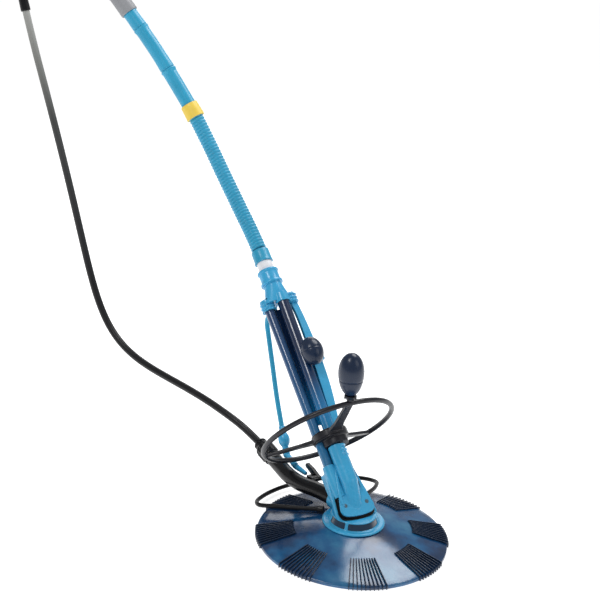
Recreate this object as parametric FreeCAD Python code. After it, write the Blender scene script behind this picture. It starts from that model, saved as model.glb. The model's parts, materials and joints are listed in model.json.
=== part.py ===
"""Suction pool cleaner: skirted foot, leaning body, bumper wheel, floats and two hoses.

Origin on the floor under the middle of the skirt disc, +Z up, +X towards the nose.
The body leans back towards -X. Body pieces are drawn in the body frame, where
x points out of the front face, y is sideways and z runs up the body's axis.
"""
import os
import math
import FreeCAD, Part
from FreeCAD import Vector as V

# ---- driving dimensions (mm) ----
LEAN_DEG = 40.0                  # body axis above the floor
BODY_FOOT = V(16, 0, 72)         # where the body axis starts
FIT = 0.05                       # radial clearance of a running or located fit
GAP = 0.3                        # clearance between neighbouring pieces

DISC_R = 205.0
DISC_HUB_R = 66.0
DISC_TOP_Z = 41.5
DISC_RIM_TOP_Z = 8.0
DISC_T = 3.6
NECK_R = 44.0                    # footpad neck that the disc turns on
THROAT_R = 27.0
RIB_GROUPS = 8
RIBS_PER_GROUP = 10
RIB_PITCH_DEG = 2.45
RIB_IN_R = 124.0
RIB_W = 2.6
RIB_H = 5.6

FLANGE_R = 66.0
FLANGE_Z = (42.0, 46.0)

TUBE_A_R, TUBE_B_R, TUBE_WALL = 10.5, 13.0, 2.0
TUBE_A = (V(-8.5, -24.5, 100), V(-10, -24.6, 512))      # return tube, body frame
TUBE_B = (V(8, -1.5, 140), V(11, 4, 512))               # drive tube
# Bowed float rail: sideways position of its middle, and its width, up the body.
RAIL_N = (1.0, 10.0)
RAIL_STATIONS = [(152, 19.8, 15), (195, 20.5, 15), (250, 27, 20), (325, 33, 22), (395, 35, 19),
                 (460, 33.5, 15), (514, 27.5, 16)]

HUB_L = (168.0, 180.6)           # bottom and top of the wheel's hub along the body
HUB_R = 40.0
HUB_SPOKE_L = 175.0
HUB_CLIP_T = 2.0
COLLAR_R = 36.8                  # bearing that the hub turns on
WHEEL_L = 188.0
WHEEL_R, WHEEL_ROD_R = 145.0, 5.8
WHEEL_FIRST_DEG = -5.3           # first spoke from the front face towards +Y

SMALL_FLOAT_AT = V(41, 10, 327)  # lower end of the small float, body frame
LARGE_FLOAT_LENGTH, LARGE_FLOAT_R = 94.0, 27.0

HEAD_L = (494.0, 545.0)
SWIVEL_L = (547.0, 581.0)
SPIGOT_R = 16.9
CUFF_L = (603.0, 633.0)
HOSE_R = 17.5
HOSE_WALL = 2.0
SIDE_R = 8.5
SIDE_WALL = 2.0

ARM_R, ARM_WALL = 17.0, 3.0

# Routes, chosen by hand. Rigid arm from the foot back to the side hose.
ARM_ROUTE = [V(-46, -3, 62), V(-112, -17, 60), V(-168, -33, 52), V(-215, -37, 50),
             V(-262, -34, 53), V(-308, -38, 63)]
SIDE_ROUTE = [V(-331, -40, 68), V(-366, -46.5, 78), V(-400, -60, 92), V(-434, -75, 103), V(-488, -94, 114),
              V(-547, -117, 123), V(-613, -140, 128), V(-674, -163, 135), V(-726, -182, 147),
              V(-770, -198, 168), V(-807, -211, 200), V(-838, -222, 245), V(-865, -232, 304),
              V(-896, -243, 386), V(-933, -257, 491), V(-976, -273, 605), V(-1021, -290, 719),
              V(-1066, -306, 826), V(-1098, -317, 912)]
LEADER_ROUTE = [V(-472.1, 0, 481.6), V(-505, -2, 509), V(-549, -8, 546), V(-590, -15, 584),
                V(-628, -23, 622), V(-664, -32, 662), V(-697, -43, 701), V(-716, -50.5, 725)]
UPPER_ROUTE = [V(-732, -58, 745), V(-752, -68, 770), V(-775, -81, 800), V(-802, -97, 836),
               V(-831, -116, 874), V(-861, -136, 911), V(-888, -155, 944)]
BYPASS_ROUTE = [V(-412, -4, 338), V(-391, -6, 299), V(-363, -8, 245), V(-329, -11, 180),
                V(-289.5, -13.5, 117.5)]
HOOP_ROUTE = [V(-56, -42, 50), V(-90, -80, 43), V(-124, -113, 37), V(-160, -140, 26),
              V(-190, -128, 18), V(-213, -93, 15), V(-229, -45, 14), V(-234, 8, 14),
              V(-230, 64, 14), V(-216, 112, 15), V(-190, 148, 17), V(-152, 160, 25),
              V(-112, 127, 37), V(-84, 84, 44), V(-56, 42, 50)]
HOOP_ROD_R = 4.6

X, Y, Z = V(1, 0, 0), V(0, 1, 0), V(0, 0, 1)
BODY = FreeCAD.Placement(BODY_FOOT, FreeCAD.Rotation(Y, LEAN_DEG - 90))
AXIS = BODY.Rotation.multVec(Z)


def body(shape):
    """Move a shape drawn in the body frame to its place."""
    moved = shape.copy()
    moved.Placement = BODY.multiply(moved.Placement)
    return moved


def at(n, y, length):
    """Point of the body frame in the row frame."""
    return BODY.multVec(V(n, y, length))


def save(name, shape):
    if isinstance(shape, list):
        shape = Part.makeCompound(shape)
    print(f"{name:24s} valid={shape.isValid()} solids={len(shape.Solids)} "
          f"cm3={shape.Volume / 1000:.2f}")
    shape.exportStep(f"parts/{name}.step")


def cyl(radius, start, end):
    along = end - start
    return Part.makeCylinder(radius, along.Length, start, along)


def cone(r1, r2, start, end):
    along = end - start
    return Part.makeCone(r1, r2, along.Length, start, along)


def tube(r_out, r_in, start, end):
    return cyl(r_out, start, end).cut(cyl(r_in, start, end))


def ring(r_out, r_in, low, high, centre=V(0, 0, 0)):
    """Flat ring about z, from z=low to z=high."""
    return tube(r_out, r_in, centre + Z * low, centre + Z * high)


def box(size, centre):
    return Part.makeBox(size.x, size.y, size.z, centre - size * 0.5)


def turned(points):
    """Solid of revolution about z from (radius, z) corners."""
    wire = Part.makePolygon([V(r, 0, z) for r, z in points + points[:1]])
    return Part.Face(wire).revolve(V(0, 0, 0), Z, 360)


def fuse(*shapes):
    whole = shapes[0]
    for shape in shapes[1:]:
        whole = whole.fuse(shape)
    return whole


def largest(shape):
    """Keep the main solid and drop loose slivers that a cut left behind."""
    return max(shape.Solids, key=lambda solid: solid.Volume)


def between(ends, length):
    """Point of a straight member at the given body length."""
    low, high = ends
    return low + (high - low) * ((length - low.z) / (high.z - low.z))


def rounded_path(points, report=None):
    """Straight runs joined by tangent arcs, each as large as its two runs allow."""
    edges, radii, start = [], [], points[0]
    for before, corner, after in zip(points, points[1:], points[2:]):
        into, out = (before - corner), (after - corner)
        shorter = min(into.Length, out.Length)
        into.normalize()
        out.normalize()
        half_turn = (math.pi - into.getAngle(out)) / 2
        radius = 0.45 * shorter / math.tan(half_turn)
        reach = 0.45 * shorter
        middle = corner + (into + out).normalize() * (radius / math.cos(half_turn) - radius)
        a, b = corner + into * reach, corner + out * reach
        edges.append(Part.LineSegment(start, a).toShape())
        edges.append(Part.Arc(a, middle, b).toShape())
        radii.append(radius)
        start = b
    edges.append(Part.LineSegment(start, points[-1]).toShape())
    if report:
        length = sum(e.Length for e in edges)
        print(f"{report}: length {length:.0f} mm, radii",
              " ".join(f"{r:.0f}" for r in radii))
    return Part.Wire(edges)


def pipe(points, radius, inner=0.0, report=None):
    path = rounded_path(points, report)
    start, along = points[0], points[1] - points[0]

    def swept(r):
        profile = Part.Wire(Part.makeCircle(r, start, along))
        return path.makePipeShell([profile], True, False)

    solid = swept(radius)
    if report:
        even = math.pi * radius ** 2 * path.Length
        print(f"   volume over section*length {solid.Volume / even:.4f}")
    return solid.cut(swept(inner)) if inner else solid


# ---- foot ----

def footpad():
    pad = turned([(52, 0), (60, 0), (62, 3), (60, 9), (50, 13), (NECK_R, 22), (NECK_R, 41.7),
                  (THROAT_R + 1, 41.7), (THROAT_R + 1, 24), (40, 4)])
    pocket = ring(41, 33, 26, 38)
    clip_groove = ring(NECK_R + 2, NECK_R - 2, 31, 34)
    return pad.cut(pocket).cut(clip_groove)


def ballast_ring():
    return ring(41 - FIT, 33 + FIT, 26 + FIT, 38 - FIT)


def disc_clip():
    clip = ring(NECK_R + 9, NECK_R - 2 + FIT, 31 + FIT, 34 - FIT)
    return clip.cut(box(V(20, 8, 10), V(NECK_R + 4, 0, 32)))


def suction_disc():
    hub_low = 34.6
    skirt = turned([(NECK_R + 0.2, hub_low), (DISC_HUB_R - 4, hub_low), (DISC_HUB_R, 36.8),
                    (120, 24.2), (165, 12.6), (DISC_R - 5, 4.2), (DISC_R - 5, 0), (DISC_R, 0),
                    (DISC_R, DISC_RIM_TOP_Z), (165, 16.6), (120, 28.4), (DISC_HUB_R, DISC_TOP_Z),
                    (NECK_R + 0.2, DISC_TOP_Z)])
    fins = []
    slope = math.degrees(math.atan2(16.6 - DISC_RIM_TOP_Z, DISC_R - 165))
    for group in range(RIB_GROUPS):
        for k in range(RIBS_PER_GROUP):
            angle = 22.5 + 360 / RIB_GROUPS * group + (k - (RIBS_PER_GROUP - 1) / 2) * RIB_PITCH_DEG
            outline = [V(RIB_IN_R, 0, 22), V(165, 0, 13.5), V(DISC_R - 2, 0, 5),
                       V(DISC_R - 1, 0, DISC_RIM_TOP_Z + RIB_H), V(165, 0, 16.6 + RIB_H),
                       V(RIB_IN_R + 6, 0, 26.4 + RIB_H), V(RIB_IN_R, 0, 27.8)]
            face = Part.Face(Part.makePolygon(outline + outline[:1]))
            fin = face.extrude(Y * RIB_W)
            fin.translate(V(0, -RIB_W / 2, 0))
            fin.rotate(V(0, 0, 0), Z, angle)
            fins.append(fin)
    return skirt.multiFuse(fins)


def plate_outline(nose, half_width, top, half_top, shift=0.0, corner=22.0):
    """U-shaped plate in the body frame: blunt nose low, narrowing towards the top."""
    points = [V(0, -half_top + shift, top), V(0, -half_width, nose + corner),
              V(0, -half_width * 0.68, nose + 2.6), V(0, 0, nose), V(0, half_width * 0.68, nose + 2.6),
              V(0, half_width, nose + corner), V(0, half_top + shift, top)]
    left = Part.LineSegment(points[0], points[1])
    nose_left = Part.Arc(points[1], V(0, -half_width * 0.92, nose + corner * 0.36), points[2])
    front = Part.Arc(points[2], points[3], points[4])
    nose_right = Part.Arc(points[4], V(0, half_width * 0.92, nose + corner * 0.36), points[5])
    right = Part.LineSegment(points[5], points[6])
    end = Part.LineSegment(points[6], points[0])
    wire = Part.Wire([c.toShape() for c in (left, nose_left, front, nose_right, right, end)])
    return Part.Face(wire)


def slab(face, low, high):
    """Extrude an outline of the body's yz plane from x=low to x=high."""
    solid = face.extrude(X * (high - low))
    solid.translate(X * low)
    return solid


BELOW_FLANGE = Part.makeBox(600, 600, 400, V(-300, -300, FLANGE_Z[1] - 400))


def water_way(extra=0.0):
    """Water passage: up from the footpad, then tapering along the body to the drive tube."""
    knee = at(-26, 0, 2)
    return fuse(cyl(THROAT_R + extra, V(0, 0, 40), V(0, 0, 54)),
                Part.makeSphere(19.4 + extra, knee),
                cone(19 + extra, 15.2 + extra, knee, at(8, 0, 60)),
                cyl(15.2 + extra, at(8, 0, 58.7), at(8, 0, 130)))


def return_socket(radius, low, high):
    return cyl(radius, between(TUBE_A, low), between(TUBE_A, high))


# Drum under the body: radii and centres of its foot and its top, and the windows' height.
DRUM = (54, 47, V(0, 0, FLANGE_Z[1] - 1), V(0, 0, 62.4))
WINDOW_Z = (47.2, 59.8)


def foot_housing():
    flange = turned([(0, FLANGE_Z[0]), (FLANGE_R, FLANGE_Z[0]), (FLANGE_R, 44.2),
                     (FLANGE_R - 3, FLANGE_Z[1]), (0, FLANGE_Z[1])])
    drum = cone(*DRUM).cut(body(slab(plate_outline(-15, 46, 104, 30, -4), -8, 20)))
    shoe = slab(plate_outline(-18, 48, 108, 30, -6), -17, -8)
    heel = slab(plate_outline(-8, 31, 104, 22, -10), -42, -16)
    inner = body(fuse(shoe, heel, return_socket(13.6, 40, 113))).cut(BELOW_FLANGE)
    housing = fuse(flange, drum, inner)
    arm_boss = cyl(ARM_R + 4, V(-30, -1, 62), V(-70, -8.5, 62))
    housing = fuse(housing, arm_boss.cut(BELOW_FLANGE))
    housing = housing.cut(water_way())
    housing = housing.cut(body(return_socket(TUBE_A_R + FIT, 98, 120)))
    housing = housing.cut(body(return_socket(7, 20, 100)))
    housing = housing.cut(cyl(ARM_R + FIT, ARM_ROUTE[0], V(-75, -9.2, 61.1)))
    housing = housing.cut(cyl(10, V(-10, 0, 60), V(-48, -3, 62)))
    for trim in window_blocks():
        housing = housing.cut(trim)
    for y in (-26, 26):
        housing = housing.cut(body(cyl(2.0, V(-14, y, 18), V(0, y, 18))))
    return housing


def drum_shell(outer, inner, low, high):
    """Layer of the drum's wall, from inner to outer millimetres off its surface."""
    r_low, r_high, foot, top = DRUM
    layer = cone(r_low + outer, r_high + outer, foot, top)
    layer = layer.cut(cone(r_low + inner, r_high + inner, foot, top))
    return layer.common(box(V(200, 200, high - low), V(0, 0, (low + high) / 2)))


def in_windows(shape):
    """The shape's three pieces behind the windows: a wide one at the nose, one on each flank."""
    pieces = []
    for middle, half in ((0, 46), (-78, 24), (78, 24)):
        sector = Part.makeCylinder(80, 40, V(0, 0, 35), Z, 2 * half)
        sector.rotate(V(0, 0, 0), Z, middle - half)
        pieces.append(shape.common(sector))
    return pieces


def window_blocks():
    return in_windows(drum_shell(1, -5.5, *WINDOW_Z))


def window_inserts():
    return in_windows(drum_shell(-1.6, -5.45, WINDOW_Z[0] + FIT, WINDOW_Z[1] - FIT))


def cover_gasket():
    lip = slab(plate_outline(-13, 43, 104, 27, -4), -8 + FIT, -6.4)
    block = slab(plate_outline(-10, 40, 102, 25, -3), -6.6, -1)
    plate = fuse(lip, block).cut(return_socket(13.9, 39.7, 130))
    for y in (-26, 26):
        plate = plate.cut(cyl(2.6, V(-14, y, 18), V(10, y, 18)))
    return body(plate).cut(water_way(1.5))


def front_cover():
    under = box(V(60, 140, 220), V(-31 + FIT, 0, -1.5))
    # the socket's clearance runs exactly along the body, so that its cuts are clean
    socket = cyl(14.1, V(-8.5, -24.5, 39.7), V(-8.5, -24.5, 170))
    barrel = cyl(18.5, V(8, 0, 66), V(8, 0, 148))
    knee = Part.makeSphere(18.55, V(8, 0, 66))
    fairing = cone(20.6, 18.5, V(-17.5, 0, 7), V(8, 0, 66))
    cover = slab(plate_outline(-8, 40, 100, 21, 3), -1 + FIT, 4).cut(socket)
    for piece in (fairing.cut(under), knee.cut(under), barrel.cut(under)):
        cover = cover.fuse(piece.cut(socket))
    for low in (122, 133, 144):
        bead = ring(20.6, 17, low, low + 2.6, V(8, 0, 0))
        cover = cover.fuse(bead.cut(box(V(60, 44, 20), V(8, -24, low))).cut(socket))
    cover = cover.cut(cyl(TUBE_B_R + FIT, between(TUBE_B, 129.5), between(TUBE_B, 150)))
    for level in (128.8, 139.8):
        for angle in (20, 50, 80, 110):
            notch = box(V(3, 5, 5), V(18.4, 0, 0))
            notch.rotate(V(0, 0, 0), Z, angle)
            notch.translate(V(8, 0, level))
            cover = cover.cut(notch)
    for y in (-26, 26):
        cover = cover.cut(cyl(2.6, V(-2, y, 18), V(6, y, 18)))
        cover = cover.cut(cyl(4.2, V(1.6, y, 18), V(6, y, 18)))
    return largest(body(cover).cut(water_way()))


def cover_screws():
    screws = []
    for y in (-26, 26):
        head = cyl(4.0, V(1.7, y, 18), V(3.6, y, 18))
        slot = box(V(1, 6, 1), V(3.3, y, 18))
        screws.append(body(head.fuse(cyl(1.95, V(-12, y, 18), V(1.7, y, 18))).cut(slot)))
    return screws


def diaphragm():
    """Rubber sleeve that flaps in the water way."""
    sleeve = turned([(11.5, 66), (14.9, 66), (14.9, 69), (13, 72), (11.6, 92), (13, 112),
                     (14.9, 115), (14.9, 118), (11.5, 118), (11.5, 113), (10, 92), (11.5, 71)])
    sleeve.translate(V(8, 0, 0))
    return body(sleeve)


def diaphragm_ring():
    return body(tube(15.1, 11.6, V(8, 0, 118.2), V(8, 0, 124)))


# ---- body tubes ----

def return_tube():
    return body(tube(TUBE_A_R, TUBE_A_R - TUBE_WALL, *TUBE_A))


def drive_tube():
    return body(tube(TUBE_B_R, TUBE_B_R - TUBE_WALL, between(TUBE_B, 130), TUBE_B[1]))


def rail_bar(grow=0.0, n_low=RAIL_N[0], n_high=RAIL_N[1], inset=0.0):
    """Bowed strip: smooth left and right edges through the stations, of even thickness."""
    edges = []
    ends = []
    for side in (-1, 1):
        curve = Part.BSplineCurve()
        points = [V(n_low - grow, middle + side * (width / 2 + grow - inset), length)
                  for length, middle, width in RAIL_STATIONS]
        curve.interpolate(points)
        edges.append(curve.toShape())
        ends.append(points)
    edges.append(Part.LineSegment(ends[0][0], ends[1][0]).toShape())
    edges.append(Part.LineSegment(ends[0][-1], ends[1][-1]).toShape())
    face = Part.Face(Part.Wire(Part.__sortEdges__(edges)))
    return face.extrude(X * (n_high - n_low + 2 * grow))


def float_rail():
    return body(rail_bar().cut(rail_bar(0, RAIL_N[0] - 2, RAIL_N[0] + 4, 4)))


def spine():
    """Backing webs behind the tubes: wheel to head, and a short one from the foot to the collar."""
    upper = Part.makeBox(3.6, 40.5, 281, V(-9.4, -13.4, 207))
    lower = Part.makeBox(3.6, 23, 36.5, V(-17, -13.2, 113.4))
    return [body(upper), body(lower)]


def bundle_collar():
    """Bearing collar that holds the tubes together and carries the wheel's hub."""
    low, high = HUB_L
    bearing = cyl(COLLAR_R, V(0, 0, low - 2), V(0, 0, high + 3.2))
    shoulder = cyl(COLLAR_R + 1.8, V(0, 0, low - 3), V(0, 0, low - GAP))
    boot = cyl(28, V(5, 4, 150), V(5, 4, low - 1))
    collar = fuse(bearing, shoulder, boot)
    collar = collar.cut(clip_ring(0))
    for line, radius in ((TUBE_A, TUBE_A_R), (TUBE_B, TUBE_B_R)):
        collar = collar.cut(cyl(radius + FIT, between(line, 145), between(line, 210)))
    collar = collar.cut(rail_bar(FIT))
    return body(collar.cut(cyl(9, V(-22, 3, low - 1), V(-22, 3, 210))))


def clip_ring(clearance):
    low = HUB_L[1] + GAP
    return ring(COLLAR_R + 2.4, COLLAR_R - 1.6 + clearance, low + clearance, low + HUB_CLIP_T - clearance)


def hub_clip():
    clip = clip_ring(FIT).cut(box(V(14, 8, 10), V(-COLLAR_R, 0, HUB_L[1] + 1)))
    return body(clip.cut(cyl(TUBE_A_R + FIT, between(TUBE_A, 145), between(TUBE_A, 210))))


# ---- wheel and floats ----

def spoke(angle, width_in, width_out, thickness=7.0):
    """Flat spoke, wide at the hub, rising from the hub to the rim."""
    r_in, r_out = COLLAR_R - 6, WHEEL_R
    outline = [V(r_in, -width_in / 2, 0), V(r_in + 34, -width_in * 0.3, 0),
               V(r_out, -width_out / 2, 0), V(r_out, width_out / 2, 0),
               V(r_in + 34, width_in * 0.3, 0), V(r_in, width_in / 2, 0)]
    plate = Part.Face(Part.makePolygon(outline + outline[:1])).extrude(Z * thickness)
    plate.translate(V(0, 0, HUB_SPOKE_L - thickness / 2))
    rise = math.degrees(math.atan2(WHEEL_L - HUB_SPOKE_L, r_out - r_in))
    plate.rotate(V(r_in, 0, HUB_SPOKE_L), Y, -rise)
    plate.rotate(V(0, 0, 0), Z, angle)
    return plate


def deflector_wheel():
    low, high = HUB_L
    hub = cyl(HUB_R, V(0, 0, low), V(0, 0, high))
    rim = Part.makeTorus(WHEEL_R, WHEEL_ROD_R, V(0, 0, WHEEL_L), Z)
    spokes = [spoke(WHEEL_FIRST_DEG, 36, 17), spoke(WHEEL_FIRST_DEG - 120, 26, 9),
              spoke(WHEEL_FIRST_DEG + 120, 26, 9)]
    bore = cyl(COLLAR_R + FIT, V(0, 0, low - 5), V(0, 0, high + 5))
    return body(fuse(hub, rim, *spokes).cut(bore))


def float_base():
    angle = math.radians(WHEEL_FIRST_DEG)
    return at(WHEEL_R * math.cos(angle), WHEEL_R * math.sin(angle), WHEEL_L)


def egg(length, radius, blunt=0.56):
    """Egg about z, from z=0 to z=length, widest at blunt*length."""
    middle = V(0, 0, length * blunt)
    edges = []
    for tip in (V(0, 0, 0), V(0, 0, length)):
        ellipse = Part.Ellipse(tip, middle + X * radius, middle)
        edges.append(Part.ArcOfEllipse(ellipse, 0, math.pi / 2).toShape())
    edges.append(Part.LineSegment(V(0, 0, length), V(0, 0, 0)).toShape())
    face = Part.Face(Part.Wire(Part.__sortEdges__(edges)))
    return face.revolve(V(0, 0, 0), Z, 360)


def large_float_outer():
    shell = egg(LARGE_FLOAT_LENGTH, LARGE_FLOAT_R)
    shell.rotate(V(0, 0, 0), Y, -5)
    shell.translate(float_base() + Z * 16 - X * 0.5)
    return shell


def large_float():
    hollow = egg(LARGE_FLOAT_LENGTH - 8, LARGE_FLOAT_R - 3.6)
    hollow.translate(Z * 4)
    hollow.rotate(V(0, 0, 0), Y, -5)
    hollow.translate(float_base() + Z * 16 - X * 0.5)
    return large_float_outer().cut(hollow)


def float_neck():
    stem = turned([(0, 0), (7.5, 0), (9, 6), (13, 12.4), (0, 12.4)])
    fins = [box(V(26, 1.8, 8), V(0, 0, 7.2)).common(cyl(13, V(0, 0, 0), V(0, 0, 12))) for _ in range(3)]
    for k, fin in enumerate(fins):
        fin.rotate(V(0, 0, 0), Z, 60 * k)
    neck = fuse(stem, *fins)
    neck.translate(float_base() + Z * 6)
    return neck.cut(body(Part.makeTorus(WHEEL_R, WHEEL_ROD_R + 0.02, V(0, 0, WHEEL_L), Z))).cut(
        large_float_outer())


def small_float():
    """Egg with a channel in its back that clears the drive tube."""
    hollow = egg(57, 21, 0.5)
    hollow.translate(SMALL_FLOAT_AT + Z * 3.5)
    shell = egg(64, 24.5, 0.5)
    shell.translate(SMALL_FLOAT_AT)

    def channel(wall):
        return cyl(TUBE_B_R + GAP + wall, between(TUBE_B, 300), between(TUBE_B, 420))

    return body(shell.cut(channel(0)).cut(hollow.cut(channel(3.5))))


def float_clip():
    """Saddle on the rail's front with two lips round its edges and a post to the float."""
    low, high, middle = SMALL_FLOAT_AT.z + 20, SMALL_FLOAT_AT.z + 44, 34.0
    saddle = box(V(14, 30, high - low), V(RAIL_N[1] - 1, middle, (low + high) / 2))
    post = cyl(6, V(RAIL_N[1] + 3, 26, (low + high) / 2), V(31, 16, (low + high) / 2))
    ball = egg(64, 24.5 + 0.02, 0.5)
    ball.translate(SMALL_FLOAT_AT)
    return body(fuse(saddle, post).cut(rail_bar(0.04)).cut(ball))


# ---- head ----

def oval(radius_x, radius_y, height, x=0.0, y=0.0):
    ellipse = Part.Ellipse(V(0, 0, 0), max(radius_x, radius_y), min(radius_x, radius_y)).toShape()
    wire = Part.Wire(ellipse)
    if radius_y > radius_x:
        wire.rotate(V(0, 0, 0), Z, 90)
    wire.translate(V(x, y, height))
    return wire


def head_manifold():
    low, high = HEAD_L
    bell = Part.makeLoft([oval(20, 36, low + 8, -1, 0), oval(20.4, 27, low + 28, 0, 0),
                          oval(20.5, 20.4, high, 0, 0)], True)
    left_socket = cyl(15.4, between(TUBE_A, low - 6), between(TUBE_A, low + 20))
    right_socket = cyl(14, V(5, 28, low), V(4, 25, low + 22))
    centre_socket = cyl(16, between(TUBE_B, low + 3), between(TUBE_B, low + 24))
    beads = [cyl(16.8, between(TUBE_A, a), between(TUBE_A, a + 2.6)) for a in (low - 6, low + 2, low + 10)]
    beads += [cyl(15.4, V(5, 28, a), V(5, 28, a + 2.6)) for a in (low, low + 8, low + 16)]
    port = cyl(9.5, V(-12, -4, low + 18), V(-34, -4, low + 4))
    head = fuse(bell, left_socket, right_socket, centre_socket, port, *beads)
    head = head.cut(cyl(TUBE_A_R + FIT, between(TUBE_A, low - 8), TUBE_A[1] + Z * 0.1))
    head = head.cut(cyl(TUBE_B_R + FIT, between(TUBE_B, low - 8), TUBE_B[1] + Z * 0.1))
    head = head.cut(rail_bar(FIT))
    chamber = Part.makeLoft([oval(14, 26, 512.2, -1, -8), oval(15, 17, low + 36, 0, 0),
                             oval(15, 14.9, high + 0.1, 0, 0)], True)
    head = head.cut(chamber)
    head = head.cut(cyl(6, V(-8, -4, low + 20), V(-36, -4, low + 2.7)))
    rail_end = (V(5, 28, low), V(5, 28, low + 20))
    for ends, radius, levels, first in ((TUBE_A, 15.9, (low - 2.2, low + 5.8), -75),
                                        (rail_end, 14.6, (low + 3.8, low + 11.8), -15)):
        for level in levels:
            for k in range(4):
                notch = box(V(3, 5.2, 3.6), V(radius, 0, 0))
                notch.rotate(V(0, 0, 0), Z, first + 26 * k)
                notch.translate(between(ends, level + 1.7))
                head = head.cut(notch)
    return body(head).cut(cyl(5.65, *bypass_mouth()))


def bypass_mouth():
    """Short line at the head along which the bypass tube leaves."""
    start = at(-31, -4, HEAD_L[0] + 6)
    along = (BYPASS_ROUTE[0] - start).normalize()
    return start - along * 0.02, start + along * 16


def swivel_housing():
    low, high = SWIVEL_L
    shell = turned([(15, low - 1.95), (20.4, low - 1.95), (20.4, low), (25.2, low), (25.4, low + 3),
                    (24.6, low + 6.4), (22, low + 7), (22, high - 6), (24, high - 5.4),
                    (24.2, high - 2), (23, high), (17, high), (17, high - 4), (20, high - 4),
                    (20, low + 8), (15, low + 8)])
    return body(shell)


def swivel_seal():
    return body(ring(19.8, SPIGOT_R + 0.15, SWIVEL_L[1] - 6.6, SWIVEL_L[1] - 4.2))


def hose_spigot():
    low, high = SWIVEL_L
    return body(turned([(13.4, low + 8.3), (19.8, low + 8.3), (19.8, low + 14), (SPIGOT_R, low + 14),
                        (SPIGOT_R, CUFF_L[1] - 6), (13.4, CUFF_L[1] - 6)]))


def plain_band():
    return body(ring(SPIGOT_R + 0.7, SPIGOT_R + 0.02, SWIVEL_L[1] + 0.6, CUFF_L[0] - 0.6))


def hose_cuff():
    low, high = CUFF_L
    return body(turned([(SPIGOT_R + FIT, low), (20.4, low), (20.8, low + 2), (20.2, low + 20),
                        (20.0, high), (HOSE_R + 0.02, high), (HOSE_R + 0.02, high - 5.8),
                        (SPIGOT_R + FIT, high - 5.8)]))


def lock_collar():
    start, along = LEADER_ROUTE[-1], UPPER_ROUTE[0] - LEADER_ROUTE[-1]
    shell = turned([(HOSE_R + GAP, -17), (20.6, -17), (21.4, -14), (21.4, 15), (20.8, 17),
                    (HOSE_R + GAP, 17)])
    grips = []
    for k in range(12):
        grip = box(V(2.4, 3.2, 24), V(21.4, 0, 0))
        grip.rotate(V(0, 0, 0), Z, 30 * k)
        grips.append(grip)
    shape = fuse(shell, *grips)
    shape.Placement = FreeCAD.Placement(start + along * 0.5, FreeCAD.Rotation(Z, along))
    return shape


def hose_joiner():
    """Plain sleeve inside the lock collar that joins the two hose lengths."""
    start, along = LEADER_ROUTE[-1], UPPER_ROUTE[0] - LEADER_ROUTE[-1]
    half = along.Length / 2 - 0.02
    shape = turned([(12.3, -half - 9), (14.2, -half - 9), (14.2, -half), (HOSE_R, -half),
                    (HOSE_R, half), (14.2, half), (14.2, half + 9), (12.3, half + 9)])
    shape.Placement = FreeCAD.Placement(start + along * 0.5, FreeCAD.Rotation(Z, along))
    for end, before in ((LEADER_ROUTE[-1], LEADER_ROUTE[-2]), (UPPER_ROUTE[0], UPPER_ROUTE[1])):
        out = (end - before).normalize()
        shape = shape.cut(tube(HOSE_R + 2, HOSE_R - HOSE_WALL - 0.02, end - out * 20, end + out * 0.02))
    return shape


def end_cuff(route, radius, length, bore):
    """Cuff on a hose end: the hose butts inside it, the open mouth takes the next fitting."""
    start, along = route[-1], (route[-1] - route[-2]).normalize()
    shape = turned([(radius + 0.02, -18), (radius + 2.6, -18), (radius + 3.2, -15),
                    (radius + 2.4, length - 3), (radius + 3.4, length - 2), (radius + 3.4, length),
                    (bore, length), (bore, 4), (radius - 2.5, 4), (radius - 2.5, 0.02),
                    (radius + 0.02, 0.02)])
    shape.Placement = FreeCAD.Placement(start, FreeCAD.Rotation(Z, along))
    return shape


# ---- bypass and rear arm ----

def bypass_tube():
    start = at(-31, -4, HEAD_L[0] + 6)
    return pipe([start] + BYPASS_ROUTE, 5.6, 3.6, report="bypass tube")


VALVE_AT = BYPASS_ROUTE[-1]
VALVE_DIR = (BYPASS_ROUTE[-1] - BYPASS_ROUTE[-2]).normalize()


def along_valve(shape, offset=0.0):
    shape.Placement = FreeCAD.Placement(VALVE_AT + VALVE_DIR * offset, FreeCAD.Rotation(Z, VALVE_DIR))
    return shape


def check_valve():
    shell = turned([(5.65, -12), (8, -12), (8.4, -4), (12, 6), (13, 16), (12, 25), (8, 32), (6.4, 34),
                    (6.4, 40), (3.6, 40), (3.6, 30), (9, 25), (10.4, 16), (9.4, 8), (3.6, 0.02),
                    (5.65, 0.02)])
    return along_valve(shell)


def valve_ball():
    ball = Part.makeSphere(7.4, V(0, 0, 22.9))
    return along_valve(ball)


BOX_FROM = VALVE_AT + VALVE_DIR * 40.3
BOX_TO = V(-221, -13, 63)
SADDLE_AT = V(-167, -5, 61)


def elbow_outer():
    """Outside of the elbow under the valve, which turns forward onto the rear arm."""
    inlet = cyl(8, BOX_FROM, BOX_FROM + VALVE_DIR * 12)
    knee = Part.makeSphere(8, BOX_FROM + VALVE_DIR * 12)
    run = cyl(6.4, BOX_FROM + VALVE_DIR * 12, BOX_TO)
    rings = []
    direction = (BOX_TO - (BOX_FROM + VALVE_DIR * 12)).normalize()
    for back in (3, 9):
        rings.append(cyl(7.4, BOX_TO - direction * (back + 2.4), BOX_TO - direction * back))
    return fuse(inlet, knee, run, *rings)


def bypass_elbow():
    turn = BOX_FROM + VALVE_DIR * 12
    outlet = cyl(3.6, turn, BOX_TO + (BOX_TO - turn).normalize())
    return elbow_outer().cut(cyl(3.6, BOX_FROM - VALVE_DIR * 0.1, turn)).cut(outlet)


FITTING_LENGTH = 34.0


def fitting_line():
    direction = (SADDLE_AT - BOX_TO).normalize()
    return BOX_TO + direction * 0.3, direction


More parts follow.
